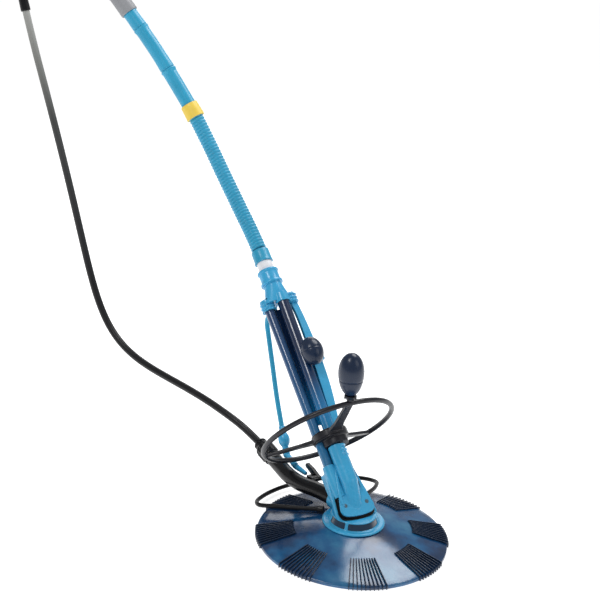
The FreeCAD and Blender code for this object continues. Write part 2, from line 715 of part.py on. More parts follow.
def bypass_fitting():
    start, direction = fitting_line()
    taper = cone(6.6, 4.4, start, start + direction * FITTING_LENGTH)
    return taper.cut(cyl(2.6, start - direction, start + direction * 30)).cut(elbow_outer())


def arm_saddle():
    """Lug on top of the rear arm that holds the fitting's tip and the latch pivot."""
    block = box(V(24, 16, 22), V(-160, -8, 57))
    shape = fuse(block, cyl(7, V(-156, -16, 64), V(-156, 0, 64)))
    shape = shape.cut(pipe(ARM_ROUTE, ARM_R + 0.02))
    shape = shape.cut(fitting_clearance())
    return shape.cut(cyl(2.55, V(-156, -20, 64), V(-156, 10, 64)))


def fitting_clearance():
    start, direction = fitting_line()
    return cone(6.6 + FIT, 4.4 + FIT, start, start + direction * (FITTING_LENGTH + FIT))


def latch_lever():
    """Lobed lever on the lug: a round eye, a wide middle and a rounded tip."""
    low, high = 0.5, 8.5
    outline = [(-157, 57.6), (-176, 60.6), (-199.6, 67.3), (-203.8, 77.6), (-180, 76.2), (-154.8, 70.4)]
    side = Part.Face(Part.makePolygon([V(x, low, z) for x, z in outline + outline[:1]]))
    lobe = fuse(cyl(6.5, V(-156, low, 64), V(-156, high, 64)), side.extrude(Y * (high - low)),
                cyl(5.4, V(-201.2, low, 72.6), V(-201.2, high, 72.6)))
    return lobe.cut(cyl(2.55, V(-156, -1, 64), V(-156, 10, 64)))


def latch_screw():
    shank = cyl(2.5, V(-156, -12, 64), V(-156, 9, 64))
    head = cyl(4.6, V(-156, 8.8, 64), V(-156, 11, 64))
    return shank.fuse(head)


def rear_arm():
    return pipe(ARM_ROUTE, ARM_R, ARM_R - ARM_WALL, report="rear arm")


NUT_DIR = (ARM_ROUTE[-1] - ARM_ROUTE[-2]).normalize()


def on_arm_end(shape):
    shape.Placement = FreeCAD.Placement(ARM_ROUTE[-1], FreeCAD.Rotation(Z, NUT_DIR))
    return shape


def arm_flange():
    return on_arm_end(turned([(ARM_R + 0.02, -24), (19.4, -24), (19.4, -20), (ARM_R + 0.02, -20)]))


def union_nut():
    shell = turned([(ARM_R + FIT, -19.5), (19, -19.5), (20, -17), (20, 14), (18, 17), (14.6, 17),
                    (14.6, 8.5), (ARM_R + FIT, 8.5)])
    ribs = []
    for k in range(14):
        rib = box(V(2.2, 2.6, 28), V(20.2, 0, -2))
        rib.rotate(V(0, 0, 0), Z, 360 / 14 * k)
        ribs.append(rib)
    return on_arm_end(fuse(shell, *ribs))


def hose_tail():
    """Stepped barb held by the union nut, with the double ring at the hose end."""
    tail = turned([(8.6, 0.3), (16.6, 0.3), (16.6, 8.2), (14.5, 8.2), (14.5, 17.6), (15.2, 18),
                   (15.2, 23), (13.4, 23.4), (13.4, 26), (15.2, 26.4), (15.2, 30), (11.6, 34),
                   (SIDE_R + 0.02, 38), (SIDE_R + 0.02, 24), (6.4, 24), (6.4, 10), (8.6, 8)])
    along = (SIDE_ROUTE[1] - SIDE_START).normalize()
    return on_arm_end(tail).cut(cyl(SIDE_R + 0.02, SIDE_START, SIDE_START + along * 20))


def bumper_hoop():
    return pipe(HOOP_ROUTE, HOOP_ROD_R, report="bumper hoop")


def hoop_sockets():
    sockets = []
    for side, a, b in ((-1, HOOP_ROUTE[0], HOOP_ROUTE[1]), (1, HOOP_ROUTE[-1], HOOP_ROUTE[-2])):
        out = (b - a).normalize()
        sockets.append(tube(7, HOOP_ROD_R + 0.02, a - out * 2, a + out * 12))
    return sockets


# The side hose starts inside the tail and leaves along the arm's last run.
SIDE_START = ARM_ROUTE[-1] + NUT_DIR * 24


def side_hose():
    return pipe([SIDE_START] + SIDE_ROUTE[1:], SIDE_R, SIDE_R - SIDE_WALL, report="side hose")


def leader_hose():
    return pipe(LEADER_ROUTE, HOSE_R, HOSE_R - HOSE_WALL, report="leader hose")


def upper_hose():
    return pipe(UPPER_ROUTE, HOSE_R, HOSE_R - HOSE_WALL, report="upper hose")


def main():
    os.makedirs("parts", exist_ok=True)
    makers = [footpad, ballast_ring, disc_clip, suction_disc, foot_housing, window_inserts,
              cover_gasket, front_cover, cover_screws, diaphragm, diaphragm_ring, return_tube,
              drive_tube, float_rail, spine, bundle_collar, hub_clip, deflector_wheel, large_float,
              float_neck, small_float, float_clip, head_manifold, swivel_housing, swivel_seal,
              hose_spigot, plain_band, hose_cuff, leader_hose, hose_joiner, lock_collar,
              upper_hose, bypass_tube, check_valve, valve_ball, bypass_elbow, bypass_fitting,
              arm_saddle, latch_lever, latch_screw, rear_arm, arm_flange, union_nut, hose_tail,
              side_hose, bumper_hoop, hoop_sockets]
    for make in makers:
        save(make.__name__, make())
    save("main_end_cuff", end_cuff(UPPER_ROUTE, HOSE_R, 34, 16.0))
    save("side_end_cuff", end_cuff(SIDE_ROUTE, SIDE_R, 24, 8.0))


main()
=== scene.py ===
"""Looks of the pool cleaner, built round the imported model. Lengths are in metres.

Places on the leaning body are given in its own frame: FRONT points out of its front face,
SIDE is sideways and AXIS runs up the body, with levels measured from the body's foot.
"""
import json
import math

import bmesh
import bpy
from mathutils import Matrix, Vector


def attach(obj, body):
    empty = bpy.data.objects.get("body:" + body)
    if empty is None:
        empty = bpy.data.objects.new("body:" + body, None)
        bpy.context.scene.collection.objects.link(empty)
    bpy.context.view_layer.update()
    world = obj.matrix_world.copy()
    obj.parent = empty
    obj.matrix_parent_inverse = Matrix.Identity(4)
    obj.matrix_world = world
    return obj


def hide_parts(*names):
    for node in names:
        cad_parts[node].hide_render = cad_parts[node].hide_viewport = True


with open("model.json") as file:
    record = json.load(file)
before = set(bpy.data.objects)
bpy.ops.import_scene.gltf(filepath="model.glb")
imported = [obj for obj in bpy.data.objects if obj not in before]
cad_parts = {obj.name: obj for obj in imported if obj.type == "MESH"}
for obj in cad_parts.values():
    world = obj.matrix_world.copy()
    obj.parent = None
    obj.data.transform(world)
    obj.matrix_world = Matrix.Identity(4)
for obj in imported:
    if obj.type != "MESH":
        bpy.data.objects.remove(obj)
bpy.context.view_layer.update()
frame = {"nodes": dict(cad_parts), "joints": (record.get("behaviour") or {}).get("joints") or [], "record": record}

JOINTS = {joint["name"]: joint for joint in frame["joints"]}
UP = Vector((0, 0, 1))
SIDE = Vector((0, 1, 0))
AXIS = Vector(JOINTS["wheel_spin"]["axis"]).normalized()
FRONT = SIDE.cross(AXIS)
HUB_LEVEL = 0.174
BODY_FOOT = Vector(JOINTS["wheel_spin"]["pos_m"]) - AXIS * HUB_LEVEL

# Routes of the hoses, in millimetres, as in the design.
LEADER_ROUTE = [(-472.1, 0, 481.6), (-505, -2, 509), (-549, -8, 546), (-590, -15, 584),
                (-628, -23, 622), (-664, -32, 662), (-697, -43, 701), (-716, -50.5, 725)]
UPPER_ROUTE = [(-732, -58, 745), (-752, -68, 770), (-775, -81, 800), (-802, -97, 836),
               (-831, -116, 874), (-861, -136, 911), (-888, -155, 944)]
SIDE_ROUTE = [(-331.4, -40.0, 68.1), (-366, -46.5, 78), (-400, -60, 92), (-434, -75, 103), (-488, -94, 114),
              (-547, -117, 123), (-613, -140, 128), (-674, -163, 135), (-726, -182, 147),
              (-770, -198, 168), (-807, -211, 200), (-838, -222, 245), (-865, -232, 304),
              (-896, -243, 386), (-933, -257, 491), (-976, -273, 605), (-1021, -290, 719),
              (-1066, -306, 826), (-1098, -317, 912)]


def at(front, side, level):
    """Point of the body frame, given in millimetres."""
    return BODY_FOOT + FRONT * (front / 1000) + SIDE * (side / 1000) + AXIS * (level / 1000)


# ---- materials ----

class Nodes:
    """Short way to write a material's node tree."""

    def __init__(self, name):
        self.material = bpy.data.materials.new(name)
        self.material.use_nodes = True
        self.tree = self.material.node_tree
        self.shader = self.tree.nodes["Principled BSDF"]
        self.place = self.add("ShaderNodeTexCoord").outputs["Object"]

    def add(self, kind, **values):
        node = self.tree.nodes.new(kind)
        for key, value in values.items():
            setattr(node, key, value)
        return node

    def link(self, source, target):
        self.tree.links.new(source, target)

    def noise(self, scale, detail=4.0, rough=0.55, stretch=None):
        node = self.add("ShaderNodeTexNoise")
        node.inputs["Scale"].default_value = scale
        node.inputs["Detail"].default_value = detail
        node.inputs["Roughness"].default_value = rough
        source = self.place
        if stretch:
            mapping = self.add("ShaderNodeMapping")
            mapping.inputs["Scale"].default_value = stretch
            self.link(self.place, mapping.inputs["Vector"])
            source = mapping.outputs["Vector"]
        self.link(source, node.inputs["Vector"])
        return node.outputs["Fac"]

    def span(self, source, low, high, start=0.3, end=0.7):
        node = self.add("ShaderNodeMapRange")
        node.inputs["From Min"].default_value = start
        node.inputs["From Max"].default_value = end
        node.inputs["To Min"].default_value = low
        node.inputs["To Max"].default_value = high
        self.link(source, node.inputs["Value"])
        return node.outputs["Result"]

    def ramp(self, source, stops):
        node = self.add("ShaderNodeValToRGB")
        elements = node.color_ramp.elements
        while len(elements) < len(stops):
            elements.new(0.5)
        for element, (place, colour) in zip(elements, stops):
            element.position = place
            element.color = (*colour, 1)
        self.link(source, node.inputs["Fac"])
        return node.outputs["Color"]

    def bump(self, source, strength, distance, below=None):
        node = self.add("ShaderNodeBump")
        node.inputs["Strength"].default_value = strength
        node.inputs["Distance"].default_value = distance
        self.link(source, node.inputs["Height"])
        if below:
            self.link(below, node.inputs["Normal"])
        return node.outputs["Normal"]

    def set(self, **values):
        for key, value in values.items():
            self.shader.inputs[key.replace("_", " ")].default_value = value


def linear(red, green, blue):
    """Linear colour from screen values of 0 to 255."""
    return tuple((c / 255 / 12.92) if c <= 10 else ((c / 255 + 0.055) / 1.055) ** 2.4
                 for c in (red, green, blue))


def plastic(name, colour, rough=(0.28, 0.4), mottle=0.10, grain=0.06, coat=0.0, gloss=0.4):
    """Moulded plastic: slight colour drift, uneven gloss, fine grain and faint flow marks."""
    nodes = Nodes(name)
    darker = tuple(c * (1 - mottle) for c in colour)
    lighter = tuple(min(1.0, c * (1 + mottle)) for c in colour)
    nodes.link(nodes.ramp(nodes.noise(22, 5), [(0.3, darker), (0.5, colour), (0.72, lighter)]),
               nodes.shader.inputs["Base Color"])
    nodes.link(nodes.span(nodes.noise(60, 6), *rough), nodes.shader.inputs["Roughness"])
    flow = nodes.bump(nodes.noise(35, 2), 0.15, 0.0006)
    nodes.link(nodes.bump(nodes.noise(1400, 2), grain, 0.0003, flow), nodes.shader.inputs["Normal"])
    nodes.set(Coat_Weight=coat, Coat_Roughness=0.12, Specular_IOR_Level=gloss)
    return nodes.material


def along_body(nodes):
    """0 at the body's foot and 1 at its head."""
    dot = nodes.add("ShaderNodeVectorMath", operation="DOT_PRODUCT")
    nodes.link(nodes.place, dot.inputs[0])
    dot.inputs[1].default_value = tuple(AXIS / 0.5)
    shift = nodes.add("ShaderNodeMath", operation="SUBTRACT")
    nodes.link(dot.outputs["Value"], shift.inputs[0])
    shift.inputs[1].default_value = BODY_FOOT.dot(AXIS) / 0.5
    return shift.outputs[0]


def tube_plastic(name, stops, coat):
    """Glossy tube whose colour deepens from the foot to the head, with fine drawing lines; the lighter blue at the
    foot is painted reflected light and the darker blue at the head is painted shade.
    """
    nodes = Nodes(name)
    nodes.link(nodes.ramp(along_body(nodes), stops), nodes.shader.inputs["Base Color"])
    nodes.link(nodes.span(nodes.noise(50, 5), 0.16, 0.3), nodes.shader.inputs["Roughness"])
    lines = nodes.noise(180, 3, stretch=(0.15, 1, 0.15))
    nodes.link(nodes.bump(lines, 0.08, 0.0003), nodes.shader.inputs["Normal"])
    nodes.set(Coat_Weight=coat, Coat_Roughness=0.08)
    return nodes.material


def disc_rubber(name):
    """Polished navy rubber with cloudy teal patches of painted reflection, soft waves and faint turning marks."""
    nodes = Nodes(name)
    teal_reflection_patches = nodes.noise(9, 6, 0.55)
    # the lighter teal end of this ramp is painted reflection
    nodes.link(nodes.ramp(teal_reflection_patches, [(0.32, linear(8, 34, 66)), (0.46, linear(14, 56, 98)),
                                  (0.57, linear(20, 88, 136)), (0.7, linear(52, 120, 158))]),
               nodes.shader.inputs["Base Color"])
    nodes.link(nodes.span(nodes.noise(26, 5), 0.12, 0.26), nodes.shader.inputs["Roughness"])
    rings = nodes.add("ShaderNodeTexWave", wave_type="RINGS", rings_direction="Z")
    rings.inputs["Scale"].default_value = 120
    rings.inputs["Distortion"].default_value = 1.5
    nodes.link(nodes.place, rings.inputs["Vector"])
    turned = nodes.bump(rings.outputs["Fac"], 0.03, 0.0002)
    nodes.link(nodes.bump(nodes.noise(12, 2), 0.25, 0.006, turned), nodes.shader.inputs["Normal"])
    nodes.set(Coat_Weight=0.3, Coat_Roughness=0.12)
    return nodes.material


def painted_light_rubber(name):
    """Black rubber that gets lighter with its height; the lightening is painted light on the far end of the side
    hose.
    """
    nodes = Nodes(name)
    split = nodes.add("ShaderNodeSeparateXYZ")
    nodes.link(nodes.place, split.inputs[0])
    height = nodes.span(split.outputs["Z"], 0.0, 1.0, 0.3, 0.95)
    nodes.link(nodes.ramp(height, [(0.0, linear(22, 22, 25)), (0.3, linear(44, 45, 47)),
                                   (0.55, linear(66, 67, 67)), (0.75, linear(122, 123, 120)),
                                   (1.0, linear(168, 169, 166))]), nodes.shader.inputs["Base Color"])
    nodes.link(nodes.span(nodes.noise(60, 6), 0.3, 0.44), nodes.shader.inputs["Roughness"])
    nodes.link(nodes.bump(nodes.noise(900, 2), 0.1, 0.0003), nodes.shader.inputs["Normal"])
    nodes.set(Specular_IOR_Level=0.3)
    return nodes.material


def metal(name, colour):
    nodes = Nodes(name)
    nodes.link(nodes.ramp(nodes.noise(90, 4), [(0.3, tuple(c * 0.8 for c in colour)), (0.7, colour)]),
               nodes.shader.inputs["Base Color"])
    nodes.link(nodes.span(nodes.noise(300, 3), 0.22, 0.42), nodes.shader.inputs["Roughness"])
    brushed = nodes.noise(700, 2, stretch=(1, 8, 1))
    nodes.link(nodes.bump(brushed, 0.1, 0.0002), nodes.shader.inputs["Normal"])
    nodes.set(Metallic=1.0)
    return nodes.material


MATERIALS = {
    "fin_rubber": plastic("fin_rubber", linear(22, 42, 68), (0.2, 0.32), 0.15, 0.08, 0.15, 0.4),
    "foot_plastic": plastic("foot_plastic", linear(58, 165, 212), (0.22, 0.34), 0.06, 0.04, 0.3),
    # both tube ramps paint reflected light near the foot and shade towards the head
    "tube_plastic": tube_plastic("tube_plastic", [(0.2, linear(40, 118, 165)), (0.6, linear(34, 84, 130)),
                                                  (0.95, linear(30, 62, 104))], 0.4),
    "navy_tube": tube_plastic("navy_tube", [(0.3, linear(28, 146, 196)), (0.46, linear(20, 116, 172)),
                                            (0.62, linear(13, 54, 96)), (0.78, linear(12, 36, 70))], 0.5),
    "navy_plastic": plastic("navy_plastic", linear(18, 36, 62), (0.24, 0.36), 0.12, 0.08, 0.2, 0.35),
    "disc_rubber": disc_rubber("disc_rubber"),
    "black_rubber": plastic("black_rubber", linear(16, 16, 19), (0.34, 0.46), 0.2, 0.12, 0.0, 0.25),
    "black_plastic": plastic("black_plastic", linear(13, 14, 18), (0.22, 0.36), 0.15, 0.1, 0.1, 0.25),
    "grey_plastic": plastic("grey_plastic", linear(30, 31, 38), (0.28, 0.42), 0.12, 0.12, 0.1, 0.35),
    "window_plastic": plastic("window_plastic", linear(22, 52, 76), (0.08, 0.18), 0.2, 0.03, 0.4),
    "hose_blue": plastic("hose_blue", linear(46, 156, 194), (0.28, 0.42), 0.07, 0.06, 0.15),
    "yellow_plastic": plastic("yellow_plastic", linear(236, 205, 84), (0.34, 0.48), 0.05, 0.08),
    "white_plastic": plastic("white_plastic", linear(236, 237, 241), (0.35, 0.5), 0.03, 0.06),
    "cuff_grey": plastic("cuff_grey", linear(140, 142, 146), (0.4, 0.52), 0.08, 0.1),
    # the side hose's rubber lightens with its height: painted light
    "side_rubber_painted_light": painted_light_rubber("side_rubber_painted_light"),
    "ballast_iron": metal("ballast_iron", (0.2, 0.2, 0.21)),
    # the screws' metal is dark blue-grey instead of steel grey: painted shade of the recesses they sit in
    "stainless": metal("stainless", (0.16, 0.24, 0.3)),
}


def paint_cad_nodes():
    slots = {part["node"]: part["material_slot"] for part in frame["record"]["subparts"]}
    for name, node in frame["nodes"].items():
        for material_slot in node.material_slots:
            material_slot.material = MATERIALS[slots[name]]
    return slots


SLOTS = paint_cad_nodes()
BODY_OF = {node: body for body, nodes in frame["record"]["behaviour"]["bodies"].items() for node in nodes}


# ---- mesh helpers ----

def piece_from(mesh, name, node, *more_nodes, slot=None):
    """New piece that stands for CAD nodes, rides with them and takes their material."""
    slot = slot or SLOTS[node]
    piece = bpy.data.objects.new(name, mesh)
    bpy.context.scene.collection.objects.link(piece)
    mesh.materials.clear()
    mesh.materials.append(MATERIALS[slot])
    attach(piece, BODY_OF[node])
    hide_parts(node, *more_nodes)
    return piece


def finished_mesh(build, name):
    """Smooth mesh from a bmesh, with its faces turned outwards."""
    bmesh.ops.recalc_face_normals(build, faces=build.faces)
    mesh = bpy.data.meshes.new(name)
    build.to_mesh(mesh)
    build.free()
    mesh.polygons.foreach_set("use_smooth", [True] * len(mesh.polygons))
    return mesh


def skin(build, rings):
    """Closed skin over rings of vertices, with a cap on each end."""
    for low, high in zip(rings, rings[1:]):
        for k in range(len(low)):
            nxt = (k + 1) % len(low)
            build.faces.new([low[k], low[nxt], high[nxt], high[k]])
    build.faces.new(list(reversed(rings[0])))
    build.faces.new(rings[-1])


def trim_from(mesh, name, node, slot, material=None):
    """Extra piece that rides with a CAD node's body and doesn't replace anything."""
    mesh.materials.append(MATERIALS[material or slot])
    piece = bpy.data.objects.new(name, mesh)
    bpy.context.scene.collection.objects.link(piece)
    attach(piece, BODY_OF[node])
    return piece


def moulded(node, voxel, passes):
    """Copy of a CAD node with its edges rounded as a moulding's are."""
    mesh = frame["nodes"][node].data.copy()
    piece = piece_from(mesh, node + "_moulded", node)
    remesh = piece.modifiers.new("remesh", "REMESH")
    remesh.mode = "VOXEL"
    remesh.voxel_size = voxel
    remesh.use_smooth_shade = True
    relax = piece.modifiers.new("relax", "SMOOTH")
    relax.factor = 0.5
    relax.iterations = passes
    return piece


# CAD nodes whose edges are rounded, with the voxel in metres and the number of smoothing passes.
MOULDED = [("foot_housing", 0.0009, 4), ("front_cover", 0.0008, 4),
           ("deflector_wheel", 0.0010, 4), ("bundle_collar", 0.0009, 3), ("head_manifold", 0.0007, 3),
           ("arm_saddle", 0.0007, 4), ("latch_lever", 0.0006, 4), ("float_neck", 0.0006, 3),
           ("bypass_elbow", 0.0006, 4), ("bypass_fitting", 0.0005, 3),
           ("union_nut", 0.0006, 3), ("hose_tail", 0.0006, 3), ("arm_flange", 0.0005, 2),
           ("main_end_cuff", 0.0008, 3), ("side_end_cuff", 0.0006, 3), ("hoop_sockets", 0.0007, 3),
           ("window_inserts", 0.0006, 2)]


def lathe(name, profile, foot, direction, steps=96):
    """Mesh turned about a line from (radius, height) points in millimetres."""
    turn = direction.to_track_quat("Z", "Y").to_matrix().to_4x4()
    place = Matrix.Translation(foot) @ turn
    build = bmesh.new()
    angles = [2 * math.pi * k / steps for k in range(steps)]
    rings = []
    for radius, height in profile:
        if radius < 1e-6:
            rings.append([build.verts.new(place @ Vector((0, 0, height / 1000)))] * steps)
            continue
        circle = [(radius * math.cos(a) / 1000, radius * math.sin(a) / 1000, height / 1000) for a in angles]
        rings.append([build.verts.new(place @ Vector(point)) for point in circle])
    for low, high in zip(rings, rings[1:]):
        for k in range(steps):
            corners = [low[k], low[(k + 1) % steps], high[(k + 1) % steps], high[k]]
            corners = list(dict.fromkeys(corners))
            if len(corners) > 2:
                build.faces.new(corners)
    return finished_mesh(build, name)


def bevelled(piece, width=0.0006, segments=3):
    bevel = piece.modifiers.new("bevel", "BEVEL")
    bevel.width = width
    bevel.segments = segments
    bevel.limit_method = "ANGLE"
    bevel.angle_limit = math.radians(28)
    bevel.harden_normals = True
    return piece


def centreline(route):
    """Points of the NURBS line that has the route's points as its control points."""
    data = bpy.data.curves.new("route", "CURVE")
    data.dimensions = "3D"
    data.resolution_u = 32
    spline = data.splines.new("NURBS")
    spline.points.add(len(route) - 1)
    for point, place in zip(spline.points, route):
        point.co = (*(c / 1000 for c in place), 1)
    spline.order_u = 3
    spline.use_endpoint_u = True
    holder = bpy.data.objects.new("route", data)
    bpy.context.scene.collection.objects.link(holder)
    bpy.context.view_layer.update()
    mesh = bpy.data.meshes.new_from_object(holder)
    points = [vertex.co.copy() for vertex in mesh.vertices]
    bpy.data.objects.remove(holder)
    bpy.data.curves.remove(data)
    bpy.data.meshes.remove(mesh)
    return points


def evenly(points, spacing):
    """The same line with points at an even spacing."""
    lengths = [0.0]
    for a, b in zip(points, points[1:]):
        lengths.append(lengths[-1] + (b - a).length)
    count = max(2, round(lengths[-1] / spacing))
    result, k = [], 0
    for step in range(count + 1):
        wanted = lengths[-1] * step / count
        while k < len(lengths) - 2 and lengths[k + 1] < wanted:
            k += 1
        share = (wanted - lengths[k]) / max(1e-12, lengths[k + 1] - lengths[k])
        result.append(points[k].lerp(points[k + 1], min(1.0, share)))
    return result, lengths[-1]


def sweep(name, points, radius_at, steps=48):
    """Closed tube round a line, with its radius in metres given by the distance along it."""
    build = bmesh.new()
    along = 0.0
    normal = None
    rings = []
    for k, point in enumerate(points):
        before, after = points[max(0, k - 1)], points[min(len(points) - 1, k + 1)]
        tangent = (after - before).normalized()
        if normal is None:
            normal = tangent.orthogonal().normalized()
        normal = (normal - tangent * normal.dot(tangent)).normalized()
        binormal = tangent.cross(normal)
        if k:
            along += (point - points[k - 1]).length
        radius = radius_at(along)
        rings.append([build.verts.new(point + (normal * math.cos(a) + binormal * math.sin(a)) * radius)
                      for a in (2 * math.pi * s / steps for s in range(steps))])
    skin(build, rings)
    return finished_mesh(build, name)


# ---- hoses ----

HOSE_R = 0.0175
HOSE_STEPS = 56
RING_PITCH = 0.0078
RING_DEPTH = 0.0025


def leader_radius(along):
    """Round rings with narrow valleys between them."""
    wave = abs(math.sin(math.pi * along / RING_PITCH))
    return HOSE_R - RING_DEPTH + RING_DEPTH * wave ** 0.7


def make_leader_hose():
    points, length = evenly(centreline(LEADER_ROUTE), RING_PITCH / 10)
    mesh = sweep("leader_hose_rings", points, leader_radius, HOSE_STEPS)
    piece = piece_from(mesh, "leader_hose_rings", "leader_hose")


LIPS = (0.098, 0.212)        # distances of the two lips up the smooth hose


def upper_radius(along):
    """Smooth hose with a rounded lip under each joint between its lengths."""
    radius = HOSE_R - 0.0008
    for lip in LIPS:
        below = lip - along
        if 0 <= below < 0.011:
            radius += 0.0026 * math.sin(math.pi * min(1.0, below / 0.0035) / 2) * (1 - below / 0.011) ** 1.2
        elif -0.0012 < below < 0:
            radius -= 0.0010
        elif -0.03 < below <= -0.0012:
            radius += 0.0008 * (1 + below / 0.03)
    return radius


def make_upper_hose():
    points, length = evenly(centreline(UPPER_ROUTE), 0.0008)
    mesh = sweep("upper_hose_lipped", points, upper_radius, HOSE_STEPS)
    piece = piece_from(mesh, "upper_hose_lipped", "upper_hose")


SIDE_R = 0.0085


def make_side_hose():
    points, length = evenly(centreline(SIDE_ROUTE), 0.005)
    mesh = sweep("side_hose_smooth", points, lambda along: SIDE_R, 32)
    piece = piece_from(mesh, "side_hose_smooth", "side_hose")
    # the side hose takes the rubber whose lightening towards its upper end is painted light
    piece.data.materials[0] = MATERIALS["side_rubber_painted_light"]


def make_lock_collar():
    start, end = Vector(LEADER_ROUTE[-1]) / 1000, Vector(UPPER_ROUTE[0]) / 1000
    middle, direction = (start + end) / 2, (end - start).normalized()
    profile = [(18.3, -17), (20.9, -17), (21.6, -16), (21.4, -12), (20.6, 4), (20.2, 15.5), (19.6, 17),
               (18.1, 17), (18.1, -17), (18.3, -17)]
    mesh = lathe("lock_collar_shell", profile, middle, direction)
    return bevelled(piece_from(mesh, "lock_collar_shell", "lock_collar"), 0.0008)


# ---- disc ----

RIM_R = 0.2015               # smooth rim; the fins stand past it and make the serrated edge
FIN_IN_R, FIN_OUT_R = 0.124, 0.2049
FIN_GROUPS, FINS_PER_GROUP, FIN_PITCH_DEG = 8, 10, 2.45
FIN_H, FIN_W = 0.0044, 0.0021
SKIRT_TOP = [(0.0442, 0.0415), (0.060, 0.0415), (0.066, 0.0410), (0.080, 0.0374), (0.100, 0.0331),
             (0.120, 0.0282), (0.143, 0.0222), (0.165, 0.0166), (0.185, 0.0122), (0.199, 0.0086)]


def skirt_height(radius):
    """Height of the skirt's upper face at a radius."""
    for (r0, z0), (r1, z1) in zip(SKIRT_TOP, SKIRT_TOP[1:]):
        if radius <= r1:
            share = (radius - r0) / (r1 - r0)
            return z0 + (z1 - z0) * share
    r0, z0 = SKIRT_TOP[-1]
    return z0 - (radius - r0) * 0.5


def add_fin(build, angle):
    """One fin with a rounded back, its ends rounded off."""
    out = Vector((math.cos(angle), math.sin(angle), 0))
    side = Vector((-math.sin(angle), math.cos(angle), 0))
    stations = [0, 0.0015, 0.004, 0.007, 0.012, 0.022, 0.034, 0.046, 0.058, 0.068, 0.074, 0.0775, 0.0795,
                FIN_OUT_R - FIN_IN_R]
    rings = []
    last = stations[-1]
    for reach in stations:
        radius = FIN_IN_R + reach
        start = min(1.0, reach / 0.007)
        finish = min(1.0, (last - reach) / 0.0045)
        rise = math.sin(math.pi / 2 * start) * 0.98 + 0.02
        height = FIN_H * rise * math.sqrt(1 - (1 - finish) ** 2 * 0.85)
        width = FIN_W / 2 * (0.55 + 0.45 * start) * (0.6 + 0.4 * finish)
        foot = 0.0006 if radius > RIM_R - 0.006 else skirt_height(radius) - 0.0012
        top = skirt_height(min(radius, 0.2)) + height
        shoulder = top - width * 1.1
        ring = [(-width * 1.08, foot), (-width, shoulder)]
        ring += [(-width * math.cos(a), shoulder + width * 1.1 * math.sin(a))
                 for a in (math.pi * k / 6 for k in range(1, 6))]
        ring += [(width, shoulder), (width * 1.08, foot)]
        rings.append([build.verts.new(out * radius + side * x + UP * z) for x, z in ring])
    skin(build, rings)


def make_disc():
    under = [(0.1995, 0.0004), (0.1985, 0.0034), (0.165, 0.0126), (0.120, 0.0242), (0.066, 0.0368),
             (0.062, 0.0346), (0.0442, 0.0346)]
    rim = [(0.2005, 0.0077), (0.2013, 0.0066), (RIM_R, 0.0052), (RIM_R, 0.0016), (0.2011, 0.0005)]
    profile = [(r * 1000, z * 1000) for r, z in SKIRT_TOP + rim + under + SKIRT_TOP[:1]]
    mesh = lathe("disc_skirt", profile, Vector((0, 0, 0)), UP, 256)
    skirt = piece_from(mesh, "disc_skirt", "suction_disc")
    bevelled(skirt, 0.0005, 2)
    build = bmesh.new()
    for group in range(FIN_GROUPS):
        for k in range(FINS_PER_GROUP):
            degrees = 22.5 + 45 * group + (k - (FINS_PER_GROUP - 1) / 2) * FIN_PITCH_DEG
            add_fin(build, math.radians(degrees))
    trim_from(finished_mesh(build, "disc_fins"), "disc_fins", "suction_disc", "disc_rubber", "fin_rubber")


# ---- floats ----

def egg_profile(length, radius, blunt, seam, steps=40):
    """Egg from two half ellipses, with a raised seam line at a share of its length."""
    profile = []
    for k in range(steps + 1):
        height = length * (1 - math.cos(math.pi * k / steps)) / 2
        reach = (length * blunt - height) / (length * blunt) if height < length * blunt else \
            (height - length * blunt) / (length * (1 - blunt))
        profile.append((radius * math.sqrt(max(0.0, 1 - reach ** 2)), height))
    at_seam = min(range(len(profile)), key=lambda k: abs(profile[k][1] - length * seam))
    width, height = profile[at_seam]
    groove = [(width - 0.15, height - 0.8), (width - 0.6, height - 0.35), (width - 0.6, height + 0.35),
              (width - 0.15, height + 0.8)]
    return profile[:at_seam] + groove + profile[at_seam + 1:]


def wheel_rim_point():
    """Where the front spoke meets the wheel's rim, under the large float."""
    angle = math.radians(-5.3)
    return at(145 * math.cos(angle), 145 * math.sin(angle), 188)


def make_floats():
    tilt = Vector((-math.sin(math.radians(5)), 0, math.cos(math.radians(5))))
    foot = wheel_rim_point() + Vector((-0.0005, 0, 0.016))
    mesh = lathe("large_float_shell", egg_profile(93.9, 26.95, 0.56, 0.4), foot, tilt, 80)
    piece_from(mesh, "large_float_shell", "large_float")
    mesh = lathe("small_float_shell", egg_profile(63.9, 24.45, 0.5, 0.5), at(41, 10, 327.05), AXIS, 80)
    piece_from(mesh, "small_float_shell", "small_float")


# ---- turned pieces on the head ----

def turned_shell(name, profile, node, bevel):
    """Piece turned about the body's axis in place of a CAD node."""
    bevelled(piece_from(lathe(name, profile, at(0, 0, 0), AXIS), name, node), bevel)


